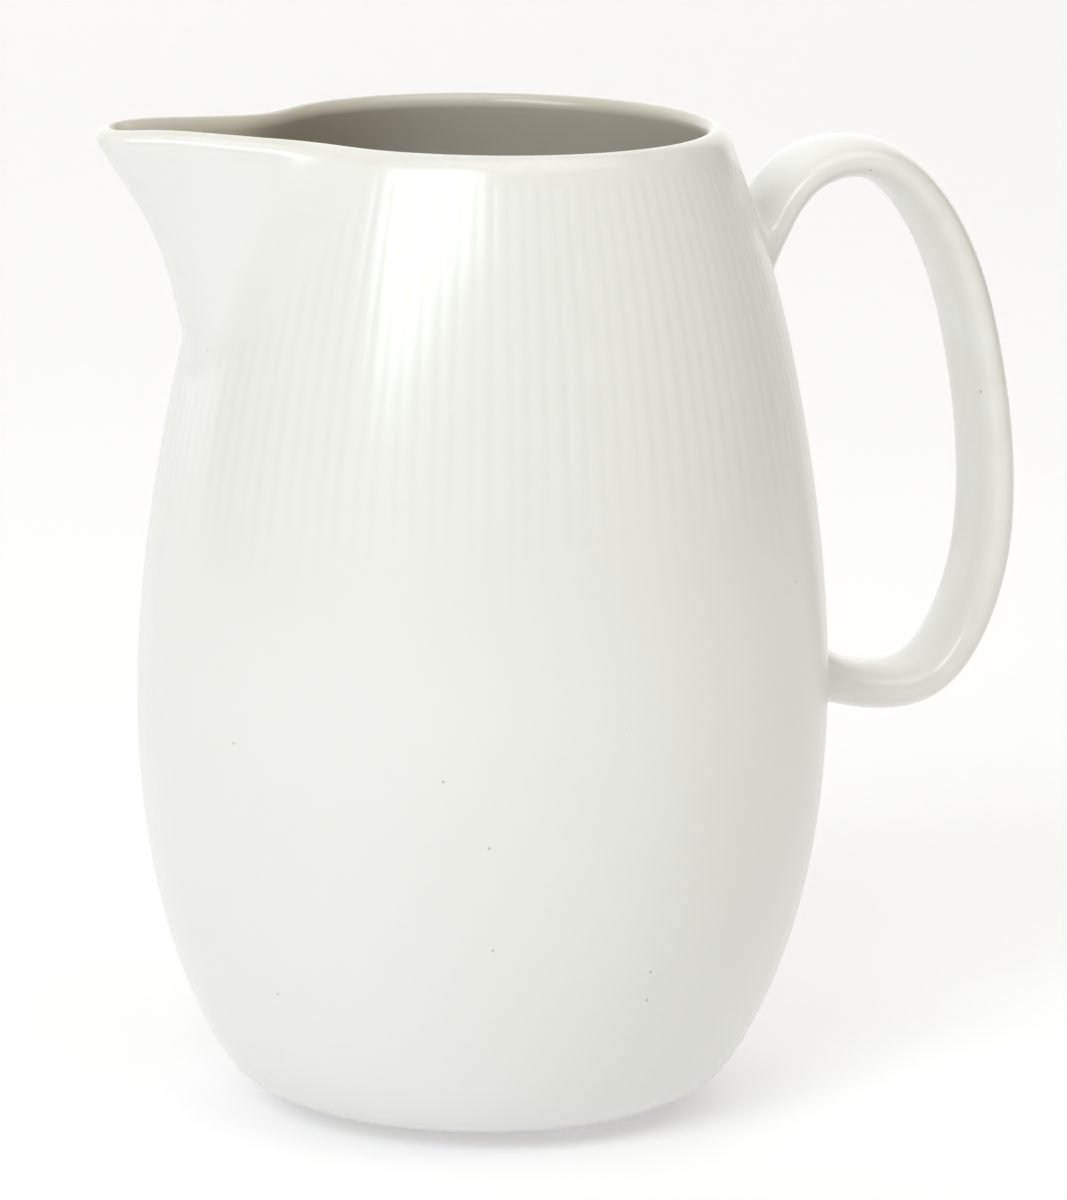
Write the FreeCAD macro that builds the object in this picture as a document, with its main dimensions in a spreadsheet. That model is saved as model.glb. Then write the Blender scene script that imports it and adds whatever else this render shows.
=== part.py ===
import FreeCAD, Part
import math
import os

import Sketcher
from FreeCAD import Placement, Rotation, Vector

# A glazed stoneware pitcher: a thrown ovoid barrel on a turned foot, a pulled beak luted over a
# notch in the barrel, and a strap handle rooted to the shoulder and the belly with collars of slip.
# Frame: Z up along the barrel's axis, origin on the table under the centre of the foot,
# beak towards -X, handle towards +X. Millimetres and degrees.

DIMENSIONS = {
    # barrel, outside, from the foot up
    "edge_radius": 41.6,
    "foot_height": 2.5,
    "heel_radius": 51.3,
    "heel_level": 6.3,
    "heel_curve": 11.0,
    "base_radius": 61.3,
    "base_level": 23.1,
    "base_curve": 52.0,
    "belly_radius": 73.4,
    "belly_level": 92.4,
    "belly_curve": 214.0,
    "waist_radius": 68.3,
    "waist_level": 142.8,
    "waist_curve": 252.0,
    "brim_radius": 50.8,
    "brim_level": 206.9,
    "brim_curve": 352.0,
    "rim_radius": 47.0,
    "rim_level": 210.0,
    "rim_curve": 3.9,
    # barrel, inside
    "mouth_radius": 45.4,
    "mouth_level": 208.4,
    "mouth_curve": 1.6,
    "headroom": 12.0,
    "wall": 4.4,
    "floor_level": 8.0,
    "floor_radius": 44.0,
    "neck_drop": 6.0,
    "neck_taper": 1.8,
    "cove_curve": 24.0,
    # foot ring, set in from the wall's edge
    "foot_radius": 32.6,
    "foot_bore": 26.0,
    "foot_round": 1.0,
    # beak: five level sections, from its foot to above its lip
    "beak_level_1": 160.0,
    "beak_level_2": 175.0,
    "beak_level_3": 190.0,
    "beak_level_4": 202.0,
    "beak_level_5": 216.0,
    "beak_reach_1": 62.5,
    "beak_reach_2": 67.6,
    "beak_reach_3": 72.9,
    "beak_reach_4": 80.3,
    "beak_reach_5": 88.0,
    "beak_nose_1": 22.0,
    "beak_nose_2": 17.0,
    "beak_nose_3": 13.8,
    "beak_nose_4": 11.5,
    "beak_nose_5": 10.5,
    "beak_flare_1": 42.0,
    "beak_flare_2": 37.0,
    "beak_flare_3": 31.0,
    "beak_flare_4": 25.0,
    "beak_flare_5": 21.0,
    "beak_wall": 4.0,
    "beak_root": 28.0,
    "lip_hinge": 40.0,
    "lip_tilt": 2.7,
    "lip_round": 1.5,
    # handle: a strap bent along straights and tangent arcs
    "strap_start_x": 55.5,
    "strap_start_z": 177.8,
    "strap_heading": 56.0,
    "strap_rise": 17.0,
    "arch_radius": 18.2,
    "arch_turn": 89.0,
    "drop_radius": 33.1,
    "drop_turn": 35.5,
    "grip_radius": 155.2,
    "grip_turn": 25.1,
    "bend_radius": 37.0,
    "bend_turn": 53.1,
    "tail_radius": 20.0,
    "tail_turn": 46.3,
    "strap_return": 13.5,
    "strap_width": 23.0,
    "strap_thickness": 9.0,
    "strap_round": 4.2,
    # slip collars at the two roots of the strap
    "collar_spread": 4.0,
    "collar_lap": 0.8,
    "upper_collar_start": 1.0,
    "upper_collar_length": 15.0,
    "lower_collar_start": 1.0,
    "lower_collar_length": 11.0,
}

BEAK_SECTIONS = range(1, 6)

# the path of the strap, as a walk: straights by length, arcs by radius and turn, all turning down
STRAP_PATH = [
    ("straight", "strap_rise"),
    ("arc", "arch_radius", "arch_turn"),
    ("arc", "drop_radius", "drop_turn"),
    ("arc", "grip_radius", "grip_turn"),
    ("arc", "bend_radius", "bend_turn"),
    ("arc", "tail_radius", "tail_turn"),
    ("straight", "strap_return"),
]

doc = FreeCAD.newDocument("pitcher")
dims = doc.addObject("Spreadsheet::Sheet", "Dims")


def fill_sheet():
    """Write the driving dimensions, one aliased cell each."""
    for row, (alias, size) in enumerate(DIMENSIONS.items(), start=1):
        dims.set(f"A{row}", alias)
        dims.set(f"B{row}", str(size))
        dims.setAlias(f"B{row}", alias)
    doc.recompute()


def size(alias):
    """A driving dimension, or a sum of them, as a number."""
    return float(dims.evalExpression(alias))


def bound(alias):
    """The same dimension as an expression for another object."""
    words = alias.split()
    return " ".join(f"Dims.{word}" if word in DIMENSIONS else word for word in words)


# ---- sketches ------------------------------------------------------------------------------------


def new_body(name):
    body = doc.addObject("PartDesign::Body", name)
    doc.recompute()
    return body


def new_sketch(body, name, role, offset=None):
    """A sketch on one of the body's own origin planes."""
    plane = next(f for f in body.Origin.OriginFeatures if f.Role == role)
    sketch = body.newObject("Sketcher::SketchObject", name)
    sketch.AttachmentSupport = [(plane, "")]
    sketch.MapMode = "FlatFace"
    if offset is not None:
        sketch.AttachmentOffset = offset
    return sketch


def drive(sketch, kind, where, alias, sign=1):
    """Add a constraint and bind its value to the sheet."""
    value = size(alias)
    if kind == "Angle":
        value = math.radians(value)
    index = sketch.addConstraint(Sketcher.Constraint(kind, *where, sign * value))
    prefix = "" if sign > 0 else "-1 * "
    sketch.setExpression(f"Constraints[{index}]", f"{prefix}({bound(alias)})")


def pin_point(sketch, geometry, vertex, x_alias, y_alias):
    """Hold one end of a piece of geometry at a driven position; None is a position on the axis."""
    if x_alias is None:
        sketch.addConstraint(Sketcher.Constraint("PointOnObject", geometry, vertex, -2))
    else:
        drive(sketch, "DistanceX", (-1, 1, geometry, vertex), x_alias)
    if y_alias is None:
        sketch.addConstraint(Sketcher.Constraint("PointOnObject", geometry, vertex, -1))
    else:
        drive(sketch, "DistanceY", (-1, 1, geometry, vertex), y_alias)


def arc_between(start, end, radius, side):
    """A minor arc from start to end; side is 1 to turn left on the way and -1 to turn right."""
    chord = end - start
    normal = Vector(-chord.y, chord.x, 0).normalize()
    rise = math.sqrt(max(radius**2 - (chord.Length / 2) ** 2, 0.0))
    centre = start + chord * 0.5 + normal * (side * rise)
    first, last = (start, end) if side > 0 else (end, start)
    angles = [math.atan2(p.y - centre.y, p.x - centre.x) for p in (first, last)]
    if angles[1] < angles[0]:
        angles[1] += 2 * math.pi
    circle = Part.Circle(centre, Vector(0, 0, 1), radius)
    return Part.ArcOfCircle(circle, *angles)


def trace(sketch, corners):
    """A closed outline through corners of (x, y, bulge): bulge is None for a straight to the next
    corner, or (radius, side) for an arc to it."""
    points = [Vector(size(x) if x else 0, size(y) if y else 0, 0) for x, y, _ in corners]
    ends = []
    for i, (x, y, bulge) in enumerate(corners):
        start, end = points[i], points[(i + 1) % len(points)]
        if bulge is None:
            g = sketch.addGeometry(Part.LineSegment(start, end))
            ends.append((g, 1, 2))
        else:
            radius, side = bulge
            g = sketch.addGeometry(arc_between(start, end, size(radius), side))
            ends.append((g, 1, 2) if side > 0 else (g, 2, 1))
    for i, (x, y, bulge) in enumerate(corners):
        g, first, last = ends[i]
        after, after_first, _ = ends[(i + 1) % len(ends)]
        sketch.addConstraint(Sketcher.Constraint("Coincident", g, last, after, after_first))
        pin_point(sketch, g, first, x, y)
        if bulge is not None:
            drive(sketch, "Radius", (g,), bulge[0])


def revolve(body, sketch):
    """A full turn of a sketch about the barrel's axis."""
    turn = body.newObject("PartDesign::Revolution", sketch.Name + "_turn")
    turn.Profile = sketch
    turn.ReferenceAxis = (sketch, ["V_Axis"])
    turn.Angle = 360
    body.Tip = turn
    return turn


# ---- barrel --------------------------------------------------------------------------------------

OUTSIDE = [
    ("edge_radius", "foot_height", ("heel_curve", 1)),
    ("heel_radius", "heel_level", ("base_curve", 1)),
    ("base_radius", "base_level", ("belly_curve", 1)),
    ("belly_radius", "belly_level", ("waist_curve", 1)),
    ("waist_radius", "waist_level", ("brim_curve", 1)),
]


def barrel_outside(name):
    """A solid of the barrel's outer shape, closed above, for trimming what is luted to it."""
    body = new_body(name)
    sketch = new_sketch(body, name + "_outline", "XZ_Plane")
    corners = OUTSIDE + [
        ("brim_radius", "brim_level", None),
        ("brim_radius", "rim_level + headroom", None),
        (None, "rim_level + headroom", None),
        (None, "foot_height", None),
    ]
    trace(sketch, corners)
    revolve(body, sketch)
    return body


def inside_corners():
    """The barrel's inner outline, from the lip down to the floor."""
    return [
        ("mouth_radius", "mouth_level", None),
        ("brim_radius - wall + neck_taper", "brim_level - neck_drop", ("brim_curve", -1)),
        ("waist_radius - wall", "waist_level", ("waist_curve", -1)),
        ("belly_radius - wall", "belly_level", ("belly_curve", -1)),
        ("base_radius - wall", "base_level", ("cove_curve", -1)),
        ("floor_radius", "floor_level", None),
    ]


def cavity():
    """A solid of the space inside the barrel, run up past the rim."""
    body = new_body("cavity")
    sketch = new_sketch(body, "cavity_outline", "XZ_Plane")
    corners = inside_corners() + [
        (None, "floor_level", None),
        (None, "rim_level + headroom", None),
        ("mouth_radius", "rim_level + headroom", None),
    ]
    trace(sketch, corners)
    revolve(body, sketch)
    return body


def barrel_blank():
    """The thrown wall with its rolled rim, before the notch for the beak is cut."""
    body = new_body("barrel_blank")
    sketch = new_sketch(body, "barrel_outline", "XZ_Plane")
    corners = OUTSIDE + [
        ("brim_radius", "brim_level", ("rim_curve", 1)),
        ("rim_radius", "rim_level", ("mouth_curve", 1)),
    ]
    corners += inside_corners()
    corners += [("edge_radius", "floor_level", None)]
    trace(sketch, corners)
    revolve(body, sketch)
    return body


def floor_disc():
    """The floor of the jug, a disc set inside the foot of the wall."""
    body = new_body("floor_disc")
    sketch = new_sketch(body, "floor_outline", "XZ_Plane")
    corners = [
        (None, "foot_height", None),
        ("edge_radius", "foot_height", None),
        ("edge_radius", "floor_level", None),
        (None, "floor_level", None),
    ]
    trace(sketch, corners)
    revolve(body, sketch)
    return body


def foot_ring():
    """The turned ring that the jug stands on, left bare of glaze."""
    body = new_body("foot_blank")
    sketch = new_sketch(body, "foot_outline", "XZ_Plane")
    corners = [
        ("foot_bore + foot_round", None, None),
        ("foot_radius - foot_round", None, ("foot_round", 1)),
        ("foot_radius", "foot_round", None),
        ("foot_radius", "foot_height", None),
        ("foot_bore", "foot_height", None),
        ("foot_bore", "foot_round", ("foot_round", 1)),
    ]
    trace(sketch, corners)
    revolve(body, sketch)
    return body


# ---- beak ----------------------------------------------------------------------------------------


def beak_section(body, name, n, inset):
    """One level section of the beak: a round nose with two flanks that spread to the barrel."""
    level, reach, nose, flare = (f"beak_{word}_{n}" for word in ("level", "reach", "nose", "flare"))
    offset = Placement(Vector(0, 0, size(level)), Rotation())
    sketch = new_sketch(body, f"{name}_{n}", "XY_Plane", offset)
    sketch.setExpression("AttachmentOffset.Base.z", bound(level))
    nose_alias = nose if inset is None else f"{nose} - {inset}"
    radius = size(nose_alias)
    angle = math.radians(size(flare))
    centre = Vector(-(size(reach) - size(nose)), 0, 0)
    tangent = centre + Vector(-radius * math.sin(angle), radius * math.cos(angle), 0)
    root_x = -size("beak_root")
    root = Vector(root_x, tangent.y + (root_x - tangent.x) * math.tan(angle), 0)
    low_tangent = Vector(tangent.x, -tangent.y, 0)
    low_root = Vector(root.x, -root.y, 0)
    circle = Part.Circle(centre, Vector(0, 0, 1), radius)
    spread = math.pi / 2 + angle
    arc = sketch.addGeometry(Part.ArcOfCircle(circle, spread, 2 * math.pi - spread))
    top = sketch.addGeometry(Part.LineSegment(root, tangent))
    low = sketch.addGeometry(Part.LineSegment(low_tangent, low_root))
    back = sketch.addGeometry(Part.LineSegment(low_root, root))
    add = sketch.addConstraint
    add(Sketcher.Constraint("Tangent", top, 2, arc, 1))
    add(Sketcher.Constraint("Tangent", arc, 2, low, 1))
    add(Sketcher.Constraint("Coincident", low, 2, back, 1))
    add(Sketcher.Constraint("Coincident", back, 2, top, 1))
    add(Sketcher.Constraint("PointOnObject", arc, 3, -1))
    add(Sketcher.Constraint("Vertical", back))
    drive(sketch, "Radius", (arc,), nose_alias)
    drive(sketch, "DistanceX", (arc, 3, -1, 1), f"{reach} - {nose}")
    drive(sketch, "DistanceX", (back, 1, -1, 1), "beak_root")
    drive(sketch, "Angle", (-1, 2, low, 2), f"0 - {flare}")
    return sketch


def beak_body(name, inset):
    """The beak lofted through its level sections; inset gives the channel inside its wall."""
    body = new_body(name)
    sections = [beak_section(body, name, n, inset) for n in BEAK_SECTIONS]
    loft = body.newObject("PartDesign::AdditiveLoft", name + "_loft")
    loft.Profile = sections[0]
    loft.Sections = sections[1:]
    body.Tip = loft
    return body


def lip_trimmer():
    """A block above the beak's lip, tilted so that the lip rises a little to its tip."""
    block = doc.addObject("Part::Box", "lip_trimmer")
    for side in ("Length", "Width", "Height"):
        block.setExpression(side, bound("beak_reach_5"))
    tilt = Rotation(Vector(0, 1, 0), size("lip_tilt"))
    hinge = Vector(-size("lip_hinge"), 0, size("rim_level"))
    overhang = size("beak_reach_5") - size("lip_hinge") + size("headroom")
    corner = Vector(-overhang, -size("beak_reach_5") / 2, 0)
    block.Placement = Placement(hinge, tilt) * Placement(corner, Rotation())
    return block


def cut(name, base, tool):
    result = doc.addObject("Part::Cut", name)
    result.Base = base
    result.Tool = tool
    result.Refine = False
    return result


# ---- handle --------------------------------------------------------------------------------------


def walk():
    """Each step of the strap's path as (kind, start, end, start heading, end heading)."""
    here = Vector(size("strap_start_x"), size("strap_start_z"), 0)
    heading = math.radians(size("strap_heading"))
    steps = []
    for kind, *sizes in STRAP_PATH:
        before = heading
        if kind == "straight":
            end = here + Vector(math.cos(heading), math.sin(heading), 0) * size(sizes[0])
        else:
            radius = size(sizes[0])
            centre = here + Vector(math.sin(heading), -math.cos(heading), 0) * radius
            heading -= math.radians(size(sizes[1]))
            end = centre + Vector(-math.sin(heading), math.cos(heading), 0) * radius
        steps.append((kind, sizes, here, end, before, heading))
        here = end
    return steps


def strap_spine(body):
    """The strap's centre line in the XZ plane: straights and arcs, each tangent to the next."""
    sketch = new_sketch(body, "strap_spine", "XZ_Plane")
    ends = []
    for kind, sizes, start, end, _, _ in walk():
        if kind == "straight":
            g = sketch.addGeometry(Part.LineSegment(start, end))
            ends.append((g, 1, 2))
        else:
            g = sketch.addGeometry(arc_between(start, end, size(sizes[0]), -1))
            ends.append((g, 2, 1))
    for (g, _, last), (after, first, _) in zip(ends, ends[1:]):
        sketch.addConstraint(Sketcher.Constraint("Tangent", g, last, after, first))
    pin_point(sketch, ends[0][0], 1, "strap_start_x", "strap_start_z")
    drive(sketch, "Angle", (-1, 1, ends[0][0], 1), "strap_heading")
    for (kind, *sizes), (g, _, _) in zip(STRAP_PATH, ends):
        if kind == "straight":
            drive(sketch, "Distance", (g,), sizes[0])
        else:
            drive(sketch, "Radius", (g,), sizes[0])
            drive(sketch, "Angle", (g,), sizes[1])
    return sketch


def strap_frame(point, heading):
    """The placement of a section square to the strap, its x across the thickness, y the width."""
    turn = Rotation(Vector(0, 1, 0), 90 - math.degrees(heading))
    return Placement(Vector(point.x, 0, point.y), turn)


def strap_section(body, name, frame, spread=None):
    """A rounded oblong square to the strap; spread widens it all round for a collar."""
    sketch = new_sketch(body, name, "XY_Plane", frame)
    grow = "" if spread is None else f" + {spread} + {spread}"
    half_t = size("strap_thickness" + grow) / 2
    half_w = size("strap_width" + grow) / 2
    r = size("strap_round")
    corners = [(half_t, half_w), (-half_t, half_w), (-half_t, -half_w), (half_t, -half_w)]
    inner = [Vector(math.copysign(abs(x) - r, x), math.copysign(abs(y) - r, y), 0) for x, y in corners]
    arcs = []
    for quarter, centre in enumerate(inner):
        first = quarter * math.pi / 2
        circle = Part.Circle(centre, Vector(0, 0, 1), r)
        arcs.append(sketch.addGeometry(Part.ArcOfCircle(circle, first, first + math.pi / 2)))
    sides = []
    for quarter in range(4):
        here, after = arcs[quarter], arcs[(quarter + 1) % 4]
        line = Part.LineSegment(sketch.getPoint(here, 2), sketch.getPoint(after, 1))
        side = sketch.addGeometry(line)
        sketch.addConstraint(Sketcher.Constraint("Tangent", here, 2, side, 1))
        sketch.addConstraint(Sketcher.Constraint("Tangent", side, 2, after, 1))
        sides.append(side)
    for arc in arcs[1:]:
        sketch.addConstraint(Sketcher.Constraint("Equal", arcs[0], arc))
    top, left, low, right = sides
    add = sketch.addConstraint
    add(Sketcher.Constraint("Horizontal", top))
    add(Sketcher.Constraint("Vertical", left))
    add(Sketcher.Constraint("Symmetric", left, 1, right, 1, -1, 1))
    drive(sketch, "Radius", (arcs[0],), "strap_round")
    drive(sketch, "DistanceX", (left, 1, right, 1), "strap_thickness" + grow)
    drive(sketch, "DistanceY", (low, 1, top, 1), "strap_width" + grow)
    return sketch


def strap_body():
    """The pulled strap swept from the shoulder over the arch and down to the belly."""
    body = new_body("strap")
    spine = strap_spine(body)
    first = walk()[0]
    section = strap_section(body, "strap_section", strap_frame(first[2], first[4]))
    doc.recompute()
    pipe = body.newObject("PartDesign::AdditivePipe", "strap_pipe")
    pipe.Profile = section
    pipe.Spine = (spine, [f"Edge{i + 1}" for i in range(len(STRAP_PATH))])
    body.Tip = pipe
    return body


def collar_body(name, point, heading, start, length):
    """A flaring collar of slip round one root of the strap, widest against the barrel."""
    body = new_body(name)
    along = Vector(math.cos(heading), math.sin(heading), 0)
    wide = strap_frame(point + along * size(start), heading)
    narrow = strap_frame(point + along * size(length), heading)
    sections = [
        strap_section(body, name + "_wide", wide, "collar_spread"),
        strap_section(body, name + "_narrow", narrow, "collar_lap"),
    ]
    loft = body.newObject("PartDesign::AdditiveLoft", name + "_loft")
    loft.Profile = sections[0]
    loft.Sections = sections[1:]
    body.Tip = loft
    return body


# ---- assembly ------------------------------------------------------------------------------------


def round_lip(name, base):
    """Soften the beak's lip: the nose and flank edges round the flat face that faces up, but not
    the short edges where the lip ends inside the barrel."""
    shape = base.Shape
    flat = [f for f in shape.Faces if f.Surface.TypeId == "Part::GeomPlane"]
    lip = max(flat, key=lambda f: f.normalAt(0, 0).z * f.Area)
    inside_barrel = -size("mouth_radius")
    rounded = {e.hashCode() for e in lip.Edges if e.BoundBox.XMin < inside_barrel}
    numbers = [i + 1 for i, e in enumerate(shape.Edges) if e.hashCode() in rounded]
    radius = size("lip_round")
    fillet = doc.addObject("Part::Fillet", name)
    fillet.Base = base
    fillet.Edges = [(n, radius, radius) for n in numbers]
    return fillet


def build():
    """Make every sub-part and return them as {node name: object}."""
    envelope = barrel_outside("barrel_envelope")
    hollow = cavity()
    blank = barrel_blank()
    floor = floor_disc()
    foot = foot_ring()
    beak = beak_body("beak_outside", None)
    channel = beak_body("beak_channel", "beak_wall")
    trimmer = lip_trimmer()
    doc.recompute()

    wall = cut("wall", blank, beak)
    open_beak = cut("open_beak", beak, channel)
    rooted_beak = cut("rooted_beak", open_beak, hollow)
    trimmed_beak = cut("trimmed_beak", rooted_beak, trimmer)
    doc.recompute()
    spout = round_lip("spout_solid", trimmed_beak)

    strap = strap_body()
    handle = cut("handle_solid", strap, envelope)
    steps = walk()
    first, last = steps[0], steps[-1]
    collars = {}
    roots = {
        "upper_handle_joint": (first[2], first[4], "upper_collar_start", "upper_collar_length"),
        "lower_handle_joint": (last[3], last[5] + math.pi, "lower_collar_start", "lower_collar_length"),
    }
    for name, (point, heading, start, length) in roots.items():
        blank_collar = collar_body(name + "_blank", point, heading, start, length)
        off_barrel = cut(name + "_off_barrel", blank_collar, envelope)
        collars[name] = cut(name + "_solid", off_barrel, strap)
    doc.recompute()
    return {
        "vessel_wall": wall,
        "floor": floor,
        "foot_ring": foot,
        "spout": spout,
        "handle": handle,
        **collars,
    }


def check(parts):
    """Stop before anything is written if an object failed or a sub-part isn't one good solid."""
    for thing in doc.Objects:
        if {"Invalid", "Error"} & set(thing.State):
            raise RuntimeError(f"{thing.Name} is {thing.State}")
    for name, part in parts.items():
        shape = part.Shape
        if shape.isNull() or not shape.isValid() or len(shape.Solids) != 1:
            raise RuntimeError(f"{name} has {len(shape.Solids)} solids, valid {shape.isValid()}")
        box = shape.optimalBoundingBox(False)
        print(f"{name:20s} {shape.Volume / 1000:8.2f} cm3  x {box.XMin:.1f}..{box.XMax:.1f}"
              f"  y {box.YMin:.1f}..{box.YMax:.1f}  z {box.ZMin:.1f}..{box.ZMax:.1f}")


fill_sheet()
parts = build()
check(parts)
os.makedirs("parts", exist_ok=True)
for node, part in parts.items():
    part.Label = node
    part.Shape.exportStep(f"parts/{node}.step")
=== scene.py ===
import math

import bpy
import numpy as np
from mathutils import Matrix, Vector


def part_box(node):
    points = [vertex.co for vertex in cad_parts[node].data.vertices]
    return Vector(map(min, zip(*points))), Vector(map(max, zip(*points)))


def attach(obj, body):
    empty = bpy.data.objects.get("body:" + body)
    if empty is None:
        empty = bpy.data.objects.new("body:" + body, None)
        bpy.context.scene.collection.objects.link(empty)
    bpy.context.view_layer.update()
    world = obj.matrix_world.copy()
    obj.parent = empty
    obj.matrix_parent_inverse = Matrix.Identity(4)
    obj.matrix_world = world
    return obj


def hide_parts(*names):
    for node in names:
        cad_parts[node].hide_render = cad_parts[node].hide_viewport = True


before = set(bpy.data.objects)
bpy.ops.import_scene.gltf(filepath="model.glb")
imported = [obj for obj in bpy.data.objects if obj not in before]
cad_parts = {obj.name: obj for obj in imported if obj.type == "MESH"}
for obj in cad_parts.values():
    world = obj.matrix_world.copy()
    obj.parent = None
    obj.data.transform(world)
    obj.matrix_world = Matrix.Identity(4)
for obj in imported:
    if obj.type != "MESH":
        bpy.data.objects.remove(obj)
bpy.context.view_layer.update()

# The looks of a glazed stoneware pitcher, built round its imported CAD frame: a barrel with fine
# upright flutes, a pulled beak, a strap handle that flares into the clay at both roots, a floor
# and a bare foot. Every shape below is worked out in millimetres of the real jug and scaled by MM,
# which comes from the frame. Beak towards -X, handle towards +X, Z up.

RIM_LEVEL = 210.0
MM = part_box("vessel_wall")[1].z / RIM_LEVEL
EDGE_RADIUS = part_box("floor")[1].x / MM
FOOT_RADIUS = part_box("foot_ring")[1].x / MM
FOOT_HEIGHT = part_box("foot_ring")[1].z / MM
BELLY_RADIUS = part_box("vessel_wall")[1].y / MM
FLOOR_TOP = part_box("floor")[1].z / MM
BEAK_TIP = -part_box("spout")[0].x / MM
BEAK_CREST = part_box("spout")[1].z / MM
FOOT_BORE = 26.0

# ---- curves --------------------------------------------------------------------------------------


def smooth_curve(points, count=600):
    """A natural cubic spline through points, run evenly by chord length: an array of count rows."""
    points = np.asarray(points, float)
    t = np.concatenate([[0], np.cumsum(np.linalg.norm(np.diff(points, axis=0), axis=1))])
    n, gap = len(t), np.diff(t)
    system, right = np.eye(n), np.zeros((n, points.shape[1]))
    for i in range(1, n - 1):
        system[i, i - 1:i + 2] = gap[i - 1], 2 * (gap[i - 1] + gap[i]), gap[i]
        slope_after = (points[i + 1] - points[i]) / gap[i]
        slope_before = (points[i] - points[i - 1]) / gap[i - 1]
        right[i] = 6 * (slope_after - slope_before)
    bend = np.linalg.solve(system, right)
    at = np.linspace(0, t[-1], count)
    i = np.clip(np.searchsorted(t, at, side="right") - 1, 0, n - 2)
    a, b, g = (t[i + 1] - at)[:, None], (at - t[i])[:, None], gap[i][:, None]
    linear = (points[i] / g - bend[i] * g / 6) * a + (points[i + 1] / g - bend[i + 1] * g / 6) * b
    return linear + (bend[i] * a**3 + bend[i + 1] * b**3) / (6 * g)


def along(points):
    """A smooth function y(x) through points given as (x, y), x rising."""
    curve = smooth_curve(points)
    return lambda x: np.interp(x, curve[:, 0], curve[:, 1])


def smoothstep(low, high, x):
    t = np.clip((x - low) / (high - low), 0, 1)
    return t * t * (3 - 2 * t)


def soft_max(a, b, reach):
    """The larger of a and b, with the valley between them filled over reach."""
    share = np.clip(0.5 + 0.5 * (a - b) / reach, 0, 1)
    return b + (a - b) * share + reach * share * (1 - share)


def bezier(p0, p1, p2, p3, t):
    return (1 - t)**3 * p0 + 3 * t * (1 - t)**2 * p1 + 3 * t**2 * (1 - t) * p2 + t**3 * p3


# ---- the jug's outer surface, without its flutes ---------------------------------------------------

BARREL_OUTLINE = smooth_curve([
    (EDGE_RADIUS, FOOT_HEIGHT), (50.8, 6.3), (57.5, 15.0), (68.0, 42.0),
    (BELLY_RADIUS, 92.4), (68.3, 142.8), (57.2, 189.0), (50.8, 206.9),
])
LIP_HEIGHT = 3.1
RIM_LEAN = -0.37


def barrel_radius(z):
    """The barrel's outer radius; above its brim the outline runs on straight."""
    inside = np.interp(z, BARREL_OUTLINE[:, 1], BARREL_OUTLINE[:, 0])
    brim_radius, brim_level = BARREL_OUTLINE[-1]
    return np.where(z > brim_level, brim_radius + RIM_LEAN * (z - brim_level), inside)


beak_reach = along([(150, 60.0), (160, 62.8), (168, 65.6), (180, 68.9), (192, 73.9), (203, 81.0),
                    (210, BEAK_TIP - 0.2), (214, BEAK_TIP + 2)])
beak_nose = along([(150, 28), (170, 20.5), (190, 14.5), (203, 11.6), (214, 10.6)])
beak_flare = along([(150, 46), (170, 39), (190, 31), (214, 20)])


def beak_radius(phi, z):
    """Distance from the axis to the beak's level section: a round nose and two straight flanks.
    phi is the angle round from the beak."""
    phi = np.abs(phi)
    nose, flare = beak_nose(z), np.radians(beak_flare(z))
    centre = beak_reach(z) - nose
    touch_x, touch_y = centre + nose * np.sin(flare), nose * np.cos(flare)
    inside = np.maximum(nose**2 - (centre * np.sin(phi))**2, 0)
    on_nose = centre * np.cos(phi) + np.sqrt(inside)
    lean = np.tan(flare)
    on_flank = (touch_y + touch_x * lean) / np.maximum(np.sin(phi) + np.cos(phi) * lean, 0.2)
    return np.where(phi < np.arctan2(touch_y, touch_x), on_nose, on_flank)


valley_fill = along([(150, 3.0), (165, 3.5), (190, 7.0), (214, 6.5)])


def skin_radius(phi, z):
    """The outer surface of barrel and beak together."""
    barrel = barrel_radius(z)
    near = (np.abs(phi) < math.radians(80)) & (z > 150)
    beak = np.where(near, beak_radius(phi, z), 0)
    return soft_max(beak, barrel, valley_fill(z))


def skin_point(phi, z):
    r = skin_radius(phi, z)
    return np.stack([-r * np.cos(phi), r * np.sin(phi), z + 0 * r], -1)


def level_normal(phi, z):
    """The outward normal of the surface's level section."""
    step = 1e-3
    along_section = skin_point(phi + step, z) - skin_point(phi - step, z)
    normal = np.stack([-along_section[..., 1], along_section[..., 0], 0 * phi], -1)
    return normal / np.linalg.norm(normal, axis=-1, keepdims=True)


# ---- flutes ----------------------------------------------------------------------------------------

FLUTES = 108
FLUTE_DEPTH = 0.05
FLUTE_TOP = 205.0
FLUTE_FOOT = 127.0
rng = np.random.default_rng(7)
FLUTE_ENDS = FLUTE_FOOT + rng.normal(0, 2.6, FLUTES + 1)
FLUTE_STARTS = FLUTE_TOP + rng.normal(0, 0.5, FLUTES + 1)
FLUTE_CUTS = rng.uniform(0.75, 1.1, FLUTES + 1)
FLUTE_DRIFT = rng.normal(0, 0.05, FLUTES + 1)
beak_border = along([(150, -6), (160, -2), (166, 11), (171, 20), (180, 28), (196, 37), (207, 43), (214, 45)])


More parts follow.
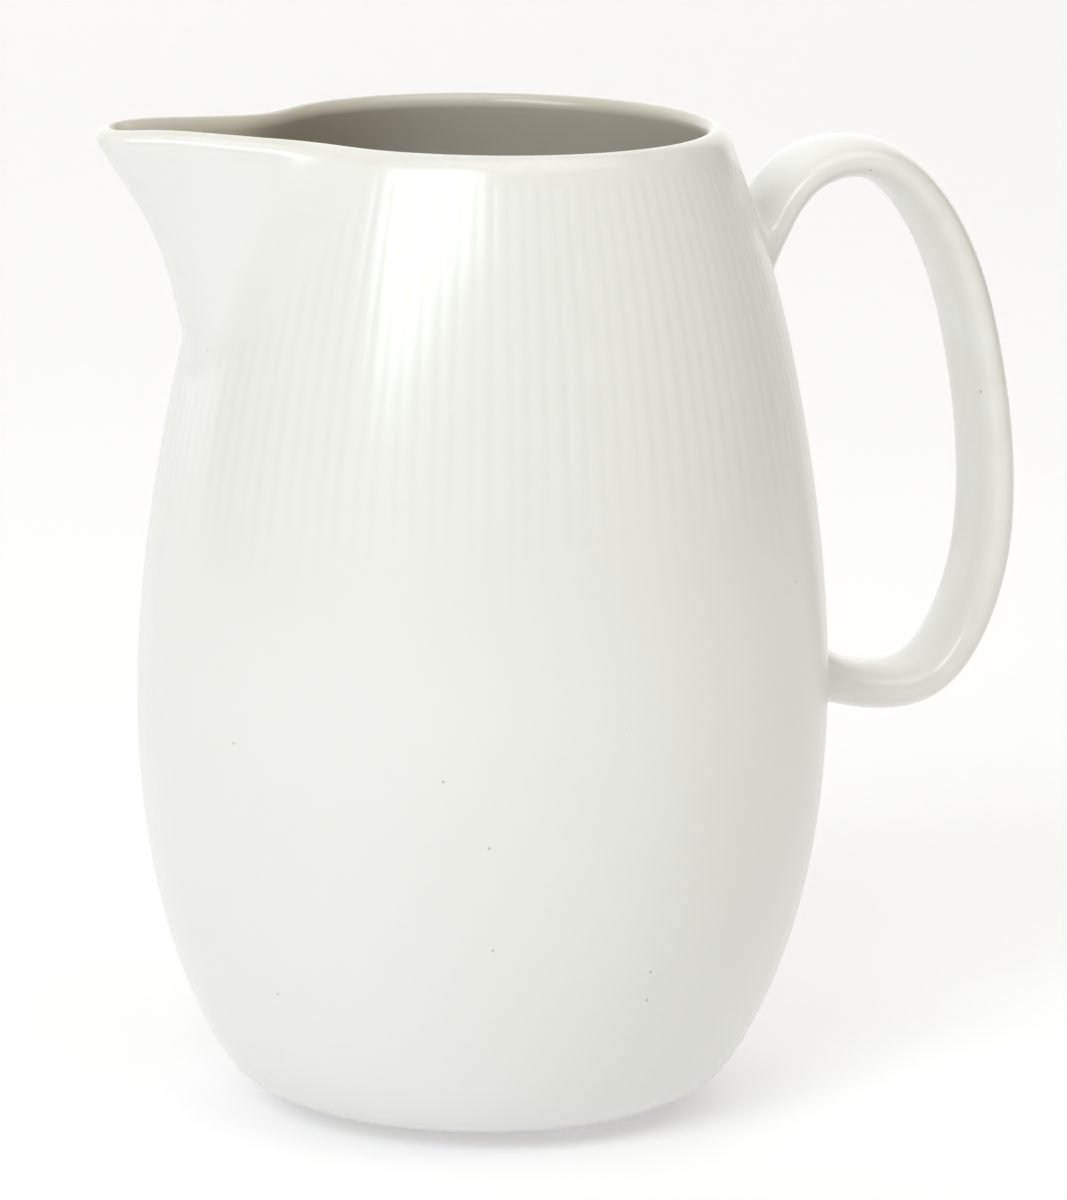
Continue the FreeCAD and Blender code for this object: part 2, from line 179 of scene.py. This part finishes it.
def flute(phi, z):
    """How deep the flute is cut at a point, 0 to 1: narrow grooves between broad rounded ribs, that
    start under the rim, fade out below the shoulder and stop short of the beak."""
    turn = (phi / (2 * np.pi) % 1) * FLUTES
    groove = np.floor(turn + 0.5).astype(int) % FLUTES
    offset = turn - np.floor(turn + 0.5) - FLUTE_DRIFT[groove] * smoothstep(200, 150, z)
    profile = (0.5 + 0.5 * np.cos(2 * np.pi * offset))**1.7
    top = smoothstep(FLUTE_STARTS[groove] + 1.6, FLUTE_STARTS[groove] - 2.2, z)
    foot = smoothstep(FLUTE_ENDS[groove] - 7, FLUTE_ENDS[groove] + 26, z)
    border = np.radians(beak_border(z))
    clear = smoothstep(border, border + 0.09, np.abs(phi))
    return profile * top * foot * clear * FLUTE_CUTS[groove]


# ---- meshes ----------------------------------------------------------------------------------------


def grid_faces(rows, columns, close_rows=False, close_columns=True):
    """Quads over a grid of points numbered row by row."""
    last_row = rows if close_rows else rows - 1
    last_column = columns if close_columns else columns - 1
    r, c = np.meshgrid(np.arange(last_row), np.arange(last_column), indexing="ij")
    after_r, after_c = (r + 1) % rows, (c + 1) % columns
    quads = np.stack([r * columns + c, r * columns + after_c, after_r * columns + after_c,
                      after_r * columns + c], -1)
    return quads


def new_piece(name, points, faces, material, replaces=(), attributes=None, normals=None):
    """A smooth mesh piece on the root body; points are in millimetres."""
    mesh = bpy.data.meshes.new(name)
    mesh.from_pydata((np.asarray(points) * MM).tolist(), [], [list(map(int, f)) for f in faces])
    mesh.validate()
    for key, values in (attributes or {}).items():
        layer = mesh.attributes.new(key, "FLOAT", "POINT")
        layer.data.foreach_set("value", np.asarray(values, np.float32).ravel())
    mesh.polygons.foreach_set("use_smooth", [True] * len(mesh.polygons))
    if normals is not None:
        mesh.normals_split_custom_set_from_vertices(normals.tolist())
    piece = bpy.data.objects.new(name, mesh)
    bpy.context.scene.collection.objects.link(piece)
    mesh.materials.append(material)
    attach(piece, "root")
    if replaces:
        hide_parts(*replaces)
    return piece


def lathe(name, outline, material, replaces, columns=192):
    """A closed ring or disc turned about Z from a closed outline of (radius, level)."""
    outline = np.asarray(outline, float)
    turn = np.linspace(0, 2 * np.pi, columns, endpoint=False)
    r, z = outline[:, :1], outline[:, 1:]
    points = np.stack([r * np.cos(turn), r * np.sin(turn), z + 0 * turn], -1)
    faces = grid_faces(len(outline), columns, close_rows=True).reshape(-1, 4)[:, ::-1]
    return new_piece(name, points.reshape(-1, 3), faces, material, replaces)


# ---- the thrown wall and the beak ------------------------------------------------------------------

COLUMNS = FLUTES * 8
OUTER_ROWS_LOW = 30
ROWS_HIGH = 46
LIP_ROWS = 12
INNER_ROWS_LOW = 10
CORNER_ROWS = 8
SPLIT_LEVEL = 120.0
WALL = 4.7
FLOOR_RADIUS = 38.0
# how the lip climbs above the rim with distance from the axis, as a share of the beak's rise
lip_climb = along([(30, 0.0), (40, 0.02), (52, 0.34), (64, 0.72), (71, 0.93), (77, 0.93), (87, 0.52)])


def crest_level(phi):
    """The level of the lip: flat round the barrel, rising a little towards the beak's tip."""
    reach = -skin_point(phi, RIM_LEVEL - LIP_HEIGHT)[..., 0]
    return RIM_LEVEL + (BEAK_CREST - RIM_LEVEL) * lip_climb(np.clip(reach, 30, 87))


def wall_grid():
    """Rows of points that go up the outside, over the lip and down the inside to the floor, and
    what each row carries: how deep its flutes are, which also sets the pooled glaze and painted
    shade in them, how thinly the rim is glazed, and which rows take the painted shade of the inside."""
    phi = np.linspace(-np.pi, np.pi, COLUMNS, endpoint=False)
    brim = crest_level(phi) - LIP_HEIGHT
    low = np.interp(np.linspace(0, 1, OUTER_ROWS_LOW, endpoint=False), *outline_share(SPLIT_LEVEL))
    high = np.linspace(0, 1, ROWS_HIGH)[:, None] ** 0.9
    outer_z = np.concatenate([low[:, None] + 0 * phi, SPLIT_LEVEL + high * (brim - SPLIT_LEVEL)])
    angles = phi + 0 * outer_z
    cut = flute(angles, outer_z)
    normal = level_normal(angles, outer_z)
    outer = skin_point(angles, outer_z) - normal * (FLUTE_DEPTH * cut)[..., None]

    edge, edge_normal = skin_point(phi, brim), level_normal(phi, brim)
    below = skin_point(phi, brim - 1)
    slope = ((edge - below) * edge_normal).sum(-1)
    beakness = smoothstep(-0.3, 0.6, slope)
    crest_in = 3.6 + (2.1 - 3.6) * beakness
    inner_in = 5.3 + (4.9 - 5.3) * beakness
    lip = lip_points(edge, edge_normal, slope, crest_in, inner_in)

    inner_high_z = outer_z[OUTER_ROWS_LOW:][::-1][1:]
    inner_low_z = np.linspace(SPLIT_LEVEL, 24, INNER_ROWS_LOW + 1)[1:, None] + 0 * phi
    inner_z = np.concatenate([inner_high_z, inner_low_z])
    angles = phi + 0 * inner_z
    depth = WALL + (inner_in - WALL) * smoothstep(16, 0, brim - inner_z)
    inner = skin_point(angles, inner_z) - level_normal(angles, inner_z) * depth[..., None]
    corner = floor_corner(inner[-1], inner[-2])

    points = np.concatenate([outer, lip, inner, corner])
    # The flute depth also sets the colour in the flutes: glaze pooled there, and painted shade.
    flute_pool_and_shade = np.zeros(points.shape[:2])
    flute_pool_and_shade[:len(outer)] = cut
    # The rim and lip are thinly glazed.
    thin_glaze_and_shade = np.zeros(points.shape[:2])
    thin_glaze_and_shade[:len(outer)] = 0.5 * smoothstep(4.0, 0.0, brim - outer_z)
    thin_glaze_and_shade[len(outer):len(outer) + len(lip)] = 1.0
    fold = 2 * (OUTER_ROWS_LOW + ROWS_HIGH - 1) + LIP_ROWS
    # Painted shade: the rows from the lip's crest down the inner wall are coloured darker and warmer.
    inside_shade_mask = np.zeros(points.shape[:2])
    inside_shade_mask[len(outer) + LIP_ROWS // 2:] = 1.0
    wall = {"points": points, "flute_pool_and_shade": flute_pool_and_shade, "thin_glaze_and_shade": thin_glaze_and_shade, "inside": inside_shade_mask,
            "normal": grid_normals(points), "fold": fold}
    return wall, phi


def outline_share(top):
    """Level against share of arc length along the barrel's outline, up to top."""
    line = BARREL_OUTLINE[BARREL_OUTLINE[:, 1] <= top]
    length = np.concatenate([[0], np.cumsum(np.linalg.norm(np.diff(line, axis=0), axis=1))])
    return length / length[-1], line[:, 1]


def lip_points(edge, normal, slope, crest_in, inner_in):
    """The rounded lip: from the outer edge up to the crest and down to the inner edge. In its local
    frame the first axis points into the jug and the second up."""
    tangent = np.stack([-slope, 1 + 0 * slope], -1)
    tangent /= np.linalg.norm(tangent, axis=-1, keepdims=True)
    start = np.zeros_like(tangent)
    crest = np.stack([crest_in, LIP_HEIGHT + 0 * slope], -1)
    end = np.stack([inner_in, 0 * slope], -1)
    level = np.array([1.0, 0.0])
    half = LIP_ROWS // 2
    rows = []
    for t in np.linspace(0, 1, half + 1)[1:]:
        rows.append(bezier(start, start + tangent * 1.7, crest - level * 1.3, crest, t))
    for t in np.linspace(0, 1, half + 1)[1:]:
        rows.append(bezier(crest, crest + level * 1.1, end + tangent * 1.5, end, t))
    rows = np.array(rows)
    up = np.array([0.0, 0.0, 1.0])
    return edge - normal * rows[..., :1] + up * rows[..., 1:]


def floor_corner(last, before):
    """The curve from the inner wall into the floor."""
    heading = last - before
    heading /= np.linalg.norm(heading, axis=-1, keepdims=True)
    radial = last[:, :2] / np.linalg.norm(last[:, :2], axis=-1, keepdims=True)
    end = np.concatenate([radial * FLOOR_RADIUS, np.full((len(last), 1), FLOOR_TOP)], -1)
    outward = np.concatenate([radial, np.zeros((len(last), 1))], -1)
    steps = np.linspace(0, 1, CORNER_ROWS + 1)[1:]
    return np.array([bezier(last, last + heading * 8, end + outward * 9, end, t) for t in steps])


def grid_normals(points):
    """Smooth outward normals of the closed grid, so that pieces cut from it shade as one skin."""
    along_columns = np.roll(points, -1, 1) - np.roll(points, 1, 1)
    along_rows = np.roll(points, -1, 0) - np.roll(points, 1, 0)
    normal = np.cross(along_columns, along_rows)
    return normal / np.maximum(np.linalg.norm(normal, axis=-1, keepdims=True), 1e-9)


def seam_walls(chosen, fold, r, c):
    """Walls along the edges where a chosen outer cell meets one that isn't chosen. Each joins the
    edge to its twin on the inside; row r's twin is row fold - r."""
    rows, columns = chosen.shape
    right = (c + 1) % columns
    edges = [
        ((r, c), (r, right), chosen[r - 1, c]),
        ((r, right), (r + 1, right), chosen[r, right]),
        ((r + 1, right), (r + 1, c), chosen[r + 1, c]),
        ((r + 1, c), (r, c), chosen[r, c - 1]),
    ]
    walls = []
    for a, b, neighbour in edges:
        if not neighbour:
            corners = [b, a, (fold - a[0], a[1]), (fold - b[0], b[1])]
            indices = [row * columns + column for row, column in corners]
            walls.append(list(dict.fromkeys(indices)))
    return walls


def wall_piece(name, wall, chosen, replaced):
    """The part of the wall grid whose cells are chosen, closed along its seam through the wall."""
    rows, columns = chosen.shape
    faces = grid_faces(rows, columns, close_rows=True)[chosen].tolist()
    for r in range(OUTER_ROWS_LOW, wall["fold"] // 2):
        for c in range(columns):
            if chosen[r, c]:
                faces += seam_walls(chosen, wall["fold"], r, c)
    used = sorted({index for face in faces for index in face})
    place = dict(zip(used, range(len(used))))
    faces = [[place[index] for index in face] for face in faces]
    keys = ("points", "normal", "flute_pool_and_shade", "thin_glaze_and_shade", "inside")
    flat = {key: wall[key].reshape(rows * columns, -1)[used] for key in keys}
    attributes = {key: flat[key] for key in ("flute_pool_and_shade", "thin_glaze_and_shade", "inside")}
    return new_piece(name, flat["points"], faces, glaze, replaced, attributes, flat["normal"])


def beak_cells(phi, wall):
    """Which cells of the wall grid belong to the beak: those above its foot and between its two
    borders, on the outside, the lip and the inside alike."""
    points = wall["points"]
    rows, columns = points.shape[:2]
    middle = wall["fold"] // 2
    level = points[..., 2]
    chosen = np.zeros((rows, columns), bool)
    halfway = phi + np.pi / columns
    for r in range(OUTER_ROWS_LOW, middle):
        height = np.minimum((level[r] + level[r + 1]) / 2, RIM_LEVEL - LIP_HEIGHT)
        chosen[r] = np.abs(halfway) < np.radians(beak_border(height) + 2.0) * (height > 158)
        chosen[wall["fold"] - r - 1] = chosen[r]
    return chosen


# ---- strap handle ------------------------------------------------------------------------------------

STRAP_LINE = smooth_curve([(51.9, 171.4), (57.9, 181.0), (69.4, 197.9), (84.0, 200.3), (98.0, 188.9),
                           (109.4, 159.8), (113.5, 128.0), (110.2, 103.4), (97.8, 86.3),
                           (79.3, 86.6), (66.0, 90.5)], 1200)
STRAP_ROUND = 2.3
STRAP_COLUMNS = 72
strap_width = along([(0.0, 25.0), (0.1, 24.5), (0.25, 24.0), (0.6, 23.0), (0.85, 21.0), (1.0, 20.5)])
strap_depth = along([(0.0, 9.0), (0.12, 8.6), (0.3, 8.9), (0.6, 9.2), (0.85, 9.6), (1.0, 10.0)])


def strap_grid():
    """Rings of the strap's section along its centre line, both ends run on into the barrel."""
    share = np.linspace(0, 1, len(STRAP_LINE))
    step = np.gradient(STRAP_LINE, axis=0)
    step /= np.linalg.norm(step, axis=1, keepdims=True)
    outward = np.stack([-step[:, 1], step[:, 0]], -1)
    theta = np.linspace(0, 2 * np.pi, STRAP_COLUMNS, endpoint=False)
    power = 2 / STRAP_ROUND
    across = np.sign(np.cos(theta)) * np.abs(np.cos(theta))**power
    through = np.sign(np.sin(theta)) * np.abs(np.sin(theta))**power
    half_width, half_depth = strap_width(share) / 2, strap_depth(share) / 2
    reach = half_depth[:, None] * through
    x = STRAP_LINE[:, :1] + outward[:, :1] * reach
    z = STRAP_LINE[:, 1:] + outward[:, 1:] * reach
    y = half_width[:, None] * across
    return np.stack([x, y, z], -1)


def barrel_depth(p):
    """How far outside the smooth barrel points are, measured level."""
    return np.hypot(p[..., 0], p[..., 1]) - barrel_radius(p[..., 2])


def on_barrel(p, sink):
    r = np.hypot(p[..., 0], p[..., 1])
    scale = (barrel_radius(p[..., 2]) - sink) / r
    return np.stack([p[..., 0] * scale, p[..., 1] * scale, p[..., 2]], -1)


def root_fillet(grid, run_on, inner, side, outer, rows=11):
    """The flare of a strap's end into the barrel. grid runs from inside the barrel outwards; gives
    the flare's rings from the barrel to the strap and the row of grid where the strap takes over.
    The flare runs on along the strap for run_on, and spreads over the barrel by inner, side and
    outer on the strap's three faces."""
    columns = grid.shape[1]
    meet = np.argmax(barrel_depth(grid) > 0, axis=0)
    start = grid[meet, np.arange(columns)]
    ring_step = np.linalg.norm(np.diff(grid, axis=0), axis=-1).mean()
    take_over = meet.max() + int(run_on / ring_step)
    ahead = grid[take_over]
    up = np.sin(np.linspace(0, 2 * np.pi, columns, endpoint=False))
    spread = side + (outer - side) * np.maximum(up, 0)**2 + (inner - side) * np.minimum(up, 0)**2
    away = start - start.mean(0)
    away /= np.linalg.norm(away, axis=-1, keepdims=True)
    landing = on_barrel(start + away * spread[:, None], 0.3)
    share = np.linspace(0, 1, rows)[:, None, None]
    rings = (1 - share)**2 * landing + 2 * share * (1 - share) * start + share**2 * ahead
    return rings, take_over


EDGE_THIN = 1.0
# Painted shade: how strongly the strap's inner face, turned to the barrel, is coloured warm and dark.
INNER_FACE_SHADE = 0.8


def strap_thin_glaze_and_shade():
    """How thinly the strap's section is glazed, with painted shade: the glaze draws off both edges,
    and the inner face, which turns to the barrel, gets painted shade.
    """
    theta = np.linspace(0, 2 * np.pi, STRAP_COLUMNS, endpoint=False)
    return EDGE_THIN * np.abs(np.cos(theta))**6 + INNER_FACE_SHADE * np.maximum(-np.sin(theta), 0)


def capped_tube(name, rings, normals, material, replaced, sink_first=0.0, sink_last=0.0):
    """A closed piece from rings of points: quads between rings and a fan at each end."""
    rows, columns = rings.shape[:2]
    points = rings.reshape(-1, 3).tolist()
    faces = grid_faces(rows, columns).reshape(-1, 4).tolist()
    for ring, order, sink in ((0, -1, sink_first), (rows - 1, 1, sink_last)):
        middle = rings[ring].mean(0)
        if sink:
            middle = on_barrel(middle, sink)
        points.append(middle.tolist())
        tip = len(points) - 1
        for c in range(columns):
            a, b = ring * columns + c, ring * columns + (c + 1) % columns
            faces.append([a, b, tip][::order])
    flat = np.concatenate([normals.reshape(-1, 3), [[-1.0, 0, 0], [1.0, 0, 0]]])
    # Thinly glazed strap edges, and painted shade on the strap's inner face.
    thin_glaze_and_shade = np.concatenate([np.tile(strap_thin_glaze_and_shade(), rows), [0.0, 0.0]])
    return new_piece(name, points, faces, material, replaced, {"thin_glaze_and_shade": thin_glaze_and_shade}, flat)


def build_handle():
    grid = strap_grid()
    upper, upper_row = root_fillet(grid, run_on=3.0, inner=2.2, side=3.5, outer=3.5)
    lower, lower_rows = root_fillet(grid[::-1], run_on=8.0, inner=9.5, side=3.5, outer=1.5)
    lower_row = len(grid) - 1 - lower_rows
    body = grid[upper_row:lower_row + 1]
    keep = np.linspace(0, len(body) - 1, 170).astype(int)
    body = body[keep]
    whole = np.concatenate([upper[:-1], body, lower[::-1][1:]])
    rows = np.gradient(whole, axis=0)
    columns = np.roll(whole, -1, 1) - np.roll(whole, 1, 1)
    normal = np.cross(columns, rows)
    normal /= np.maximum(np.linalg.norm(normal, axis=-1, keepdims=True), 1e-9)
    last = len(whole) - len(lower)
    first = len(upper) - 1
    capped_tube("shoulder_root", whole[:first + 1], normal[:first + 1], glaze,
                ["upper_handle_joint"], sink_first=2.5)
    capped_tube("strap", whole[first:last + 1], normal[first:last + 1], glaze, ["handle"])
    capped_tube("belly_root", whole[last:], normal[last:], glaze,
                ["lower_handle_joint"], sink_last=2.5)


# ---- materials ---------------------------------------------------------------------------------------


def node_tools(material):
    """A cleared node tree with its output and Principled shader, and a short way to add nodes."""
    material.use_nodes = True
    tree = material.node_tree
    tree.nodes.clear()

    def add(kind, inputs=None, **settings):
        node = tree.nodes.new(kind)
        for key, value in settings.items():
            setattr(node, key, value)
        for key, value in (inputs or {}).items():
            if isinstance(value, bpy.types.NodeSocket):
                tree.links.new(value, node.inputs[key])
            else:
                node.inputs[key].default_value = value
        return node

    shader = add("ShaderNodeBsdfPrincipled")
    output = add("ShaderNodeOutputMaterial")
    tree.links.new(shader.outputs[0], output.inputs[0])
    return tree, add, shader


def noise(add, place, scale, detail=3.0):
    """Noise with features about 1 / scale metres across."""
    return add("ShaderNodeTexNoise", {"Vector": place, "Scale": scale, "Detail": detail}).outputs[0]


def spread(add, value, low, high):
    """A value of 0 to 1, stretched to run from low to high."""
    return add("ShaderNodeMapRange", {"Value": value, "To Min": low, "To Max": high}).outputs["Result"]


def mix_colour(add, share, a, b):
    node = add("ShaderNodeMix", data_type="RGBA")
    for socket, value in ((node.inputs[0], share), (node.inputs[6], a), (node.inputs[7], b)):
        if isinstance(value, bpy.types.NodeSocket):
            node.id_data.links.new(value, socket)
        else:
            socket.default_value = value
    return node.outputs[2]


def glaze_material():
    """Satin white glaze over pale clay: warm where thinly glazed on the edges, a touch cooler and darker
    in the flutes, partly glaze pooled there and partly painted shade, painted shade on the strap's
    inner face and over the jug's inner wall, with a few iron specks and the slow ripple of a
    poured coat."""
    material = bpy.data.materials.new("white_glaze")
    tree, add, shader = node_tools(material)
    place = add("ShaderNodeTexCoord").outputs["Object"]
    # How thinly glazed each point is, on rim, lip and strap edges; on the strap's inner face it carries
    # painted shade.
    thin_glaze_and_shade = add("ShaderNodeAttribute", attribute_name="thin_glaze_and_shade").outputs["Fac"]
    flute_pool_and_shade = add("ShaderNodeAttribute", attribute_name="flute_pool_and_shade").outputs["Fac"]
    cloud = noise(add, place, 14 / (MM * 1000), 4.0)
    body = mix_colour(add, cloud, (0.768, 0.768, 0.748, 1), (0.805, 0.805, 0.785, 1))
    streak = spread(add, noise(add, place, 300 / (MM * 1000), 3.0), 0.15, 0.85)
    # Cooler and darker in the flutes: partly glaze pooled there, partly painted shade in the grooves.
    pooled_and_shaded = add("ShaderNodeMath", {0: flute_pool_and_shade, 1: streak}, operation="MULTIPLY").outputs[0]
    body = mix_colour(add, pooled_and_shaded, body, (0.73, 0.745, 0.715, 1))
    patch = noise(add, place, 90 / (MM * 1000), 5.0)
    bare = spread(add, patch, -0.35, 0.6)
    # Warm clay through thinly glazed edges, and painted shade on the strap's inner face.
    warm = add("ShaderNodeMath", {0: thin_glaze_and_shade, 1: bare}, operation="MULTIPLY").outputs[0]
    body = mix_colour(add, warm, body, (0.66, 0.62, 0.53, 1))
    # Painted shade: the inner wall coloured darker and warmer than the glaze outside.
    inside = add("ShaderNodeAttribute", attribute_name="inside").outputs["Fac"]
    body = mix_colour(add, inside, body, (0.62, 0.588, 0.515, 1))
    tree.links.new(speckled(add, place, body), shader.inputs["Base Color"])
    smear = noise(add, place, 60 / (MM * 1000), 4.0)
    tree.links.new(spread(add, smear, 0.16, 0.26), shader.inputs["Roughness"])
    shader.inputs["IOR"].default_value = 1.5
    ripple = noise(add, place, 45 / (MM * 1000), 2.0)
    grain = noise(add, place, 420 / (MM * 1000), 3.0)
    slow = add("ShaderNodeBump", {"Height": ripple, "Strength": 0.5, "Distance": 0.30 * MM})
    fine = add("ShaderNodeBump", {"Height": grain, "Strength": 0.5, "Distance": 0.02 * MM,
                                  "Normal": slow.outputs[0]})
    tree.links.new(fine.outputs[0], shader.inputs["Normal"])
    return material


def speckled(add, place, body):
    """A few small brown specks, where the surface runs through the heart of a chosen cell."""
    cells = add("ShaderNodeTexVoronoi", {"Vector": place, "Scale": 110 / (MM * 1000)})
    chosen = add("ShaderNodeSeparateColor", {0: cells.outputs["Color"]}).outputs[0]
    chosen = add("ShaderNodeMath", {0: chosen, 1: 0.72}, operation="GREATER_THAN").outputs[0]
    dot = add("ShaderNodeMapRange", {"Value": cells.outputs["Distance"], "From Min": 0.026,
                                     "From Max": 0.042, "To Min": 1.0, "To Max": 0.0}).outputs[0]
    speck = add("ShaderNodeMath", {0: chosen, 1: dot}, operation="MULTIPLY").outputs[0]
    speck = add("ShaderNodeMath", {0: speck, 1: 0.5}, operation="MULTIPLY").outputs[0]
    return mix_colour(add, speck, body, (0.30, 0.22, 0.14, 1))


def clay_material():
    """Bare fired clay: warm, matt and gritty."""
    material = bpy.data.materials.new("fired_clay")
    tree, add, shader = node_tools(material)
    place = add("ShaderNodeTexCoord").outputs["Object"]
    cloud = noise(add, place, 40 / (MM * 1000), 4.0)
    grit = noise(add, place, 900 / (MM * 1000), 4.0)
    body = mix_colour(add, cloud, (0.60, 0.53, 0.42, 1), (0.70, 0.64, 0.54, 1))
    dark = spread(add, grit, 0.0, 0.5)
    tree.links.new(mix_colour(add, dark, body, (0.42, 0.34, 0.25, 1)), shader.inputs["Base Color"])
    tree.links.new(spread(add, grit, 0.75, 0.95), shader.inputs["Roughness"])
    bump = add("ShaderNodeBump", {"Height": grit, "Strength": 0.6, "Distance": 0.15 * MM})
    tree.links.new(bump.outputs[0], shader.inputs["Normal"])
    return material


def paper_material(name, colour, glow):
    """Matt white paper, lifted a little by its own glow so that it photographs white."""
    material = bpy.data.materials.new(name)
    tree, add, shader = node_tools(material)
    shader.inputs["Base Color"].default_value = colour
    shader.inputs["Roughness"].default_value = 0.9
    shader.inputs["Emission Color"].default_value = (1.0, 0.99, 0.98, 1)
    shader.inputs["Emission Strength"].default_value = glow
    return material


# ---- floor dish and foot -----------------------------------------------------------------------------


def build_floor():
    """The floor disc, with the faint rings that throwing leaves."""
    radius = np.linspace(0.05, FLOOR_RADIUS, 60)
    ripple = 0.12 * np.cos(radius * 1.6) * smoothstep(FLOOR_RADIUS, 28, radius)
    top = np.stack([radius, FLOOR_TOP - 0.12 * smoothstep(FLOOR_RADIUS, 30, radius) + ripple], -1)
    under = [(EDGE_RADIUS - 0.1, FOOT_HEIGHT), (FOOT_BORE, FOOT_HEIGHT), (16.0, FOOT_HEIGHT + 0.3),
             (0.05, FOOT_HEIGHT + 0.5)]
    return lathe("floor_dish", list(map(tuple, top)) + under, glaze, ["floor"])


def build_foot():
    """The unglazed ring the jug stands on, its edges wiped round."""
    outline = [(FOOT_RADIUS, FOOT_HEIGHT), (FOOT_BORE, FOOT_HEIGHT), (FOOT_BORE - 0.1, 1.4),
               (FOOT_BORE + 0.3, 0.5), (FOOT_BORE + 1.0, 0.05), (FOOT_BORE + 1.6, 0.0),
               (FOOT_RADIUS - 1.8, 0.0), (FOOT_RADIUS - 1.1, 0.06), (FOOT_RADIUS - 0.4, 0.5),
               (FOOT_RADIUS - 0.05, 1.3)]
    return lathe("foot", outline, clay, ["foot_ring"])


# ---- stage, lights and camera ------------------------------------------------------------------------


def build_stage():
    bpy.ops.mesh.primitive_plane_add(size=6)
    ground = bpy.context.object
    ground.name = "ground"
    ground.data.materials.append(paper_material("floor_paper", (0.68, 0.685, 0.71, 1), 0.335))
    bpy.ops.mesh.primitive_plane_add(size=6, location=(0, 2.6, 2.9), rotation=(math.pi / 2, 0, 0))
    wall = bpy.context.object
    wall.name = "backdrop"
    wall.data.materials.append(paper_material("wall_paper", (0.70, 0.72, 0.79, 1), 0.80))


def softbox(name, azimuth, elevation, distance, size, glow, roll=0, colour=(1, 1, 1)):
    """A rectangular light that faces the jug. Azimuth 0 stands in front, on -Y, and 90 on +X; glow
    is its brightness where white paper in the room has 1."""
    a, e = math.radians(azimuth), math.radians(elevation)
    towards = Vector((math.sin(a) * math.cos(e), -math.cos(a) * math.cos(e), math.sin(e)))
    data = bpy.data.lights.new(name, "AREA")
    data.shape = "RECTANGLE"
    data.size, data.size_y = size
    data.energy = glow * math.pi * size[0] * size[1]
    data.color = colour
    light = bpy.data.objects.new(name, data)
    light.location = LIGHT_TARGET + towards * distance
    turned = towards.to_track_quat("Z", "Y").to_matrix() @ Matrix.Rotation(math.radians(roll), 3, "Z")
    light.rotation_euler = turned.to_euler()
    bpy.context.scene.collection.objects.link(light)
    return light


def build_lights():
    world = bpy.data.worlds.new("room")
    bpy.context.scene.world = world
    world.use_nodes = True
    world.node_tree.nodes["Background"].inputs[0].default_value = (1.0, 0.92, 0.66, 1)
    world.node_tree.nodes["Background"].inputs[1].default_value = 0.30
    softbox("key", -45, 33, 2.4, (1.75, 1.05), 5.1, roll=32, colour=(0.92, 0.965, 1.0))
    softbox("left", -112, 28, 2.4, (1.2, 1.4), 0.4, colour=(0.90, 0.955, 1.0))
    softbox("top", 28, 68, 2.4, (2.2, 2.2), 1.65, colour=(0.955, 0.975, 1.0))


def build_camera():
    """The viewing angle of the picture: 18 degrees round towards the beak's side, and above."""
    data = bpy.data.cameras.new("camera")
    data.lens = CAMERA_LENS
    data.sensor_width = CAMERA_SENSOR
    camera = bpy.data.objects.new("camera", data)
    turn = math.radians(CAMERA_AZIMUTH)
    aside, back, up = CAMERA_PLACE
    x = aside * math.cos(turn) - back * math.sin(turn)
    y = aside * math.sin(turn) + back * math.cos(turn)
    pose = (Matrix.Translation(Vector((x, y, up)) * MM)
            @ Matrix.Rotation(turn, 4, "Z")
            @ Matrix.Rotation(math.radians(90 - CAMERA_PITCH), 4, "X")
            @ Matrix.Rotation(math.radians(CAMERA_ROLL), 4, "Z"))
    camera.matrix_world = pose
    bpy.context.scene.collection.objects.link(camera)
    bpy.context.scene.camera = camera


LIGHT_TARGET = Vector((0, 0, 0.11))
CAMERA_SENSOR = 36.0
CAMERA_LENS = 212.2
CAMERA_AZIMUTH = -18.0
CAMERA_PITCH = 11.87
CAMERA_ROLL = 0.805
CAMERA_PLACE = (10.56, -1470.0, 417.06)

bpy.context.scene.view_settings.view_transform = "Standard"
glaze = glaze_material()
clay = clay_material()
wall, phi = wall_grid()
beak = beak_cells(phi, wall)
wall_piece("barrel", wall, ~beak, ["vessel_wall"])
wall_piece("beak", wall, beak, ["spout"])
build_floor()
build_foot()
build_handle()
build_stage()
build_lights()
build_camera()
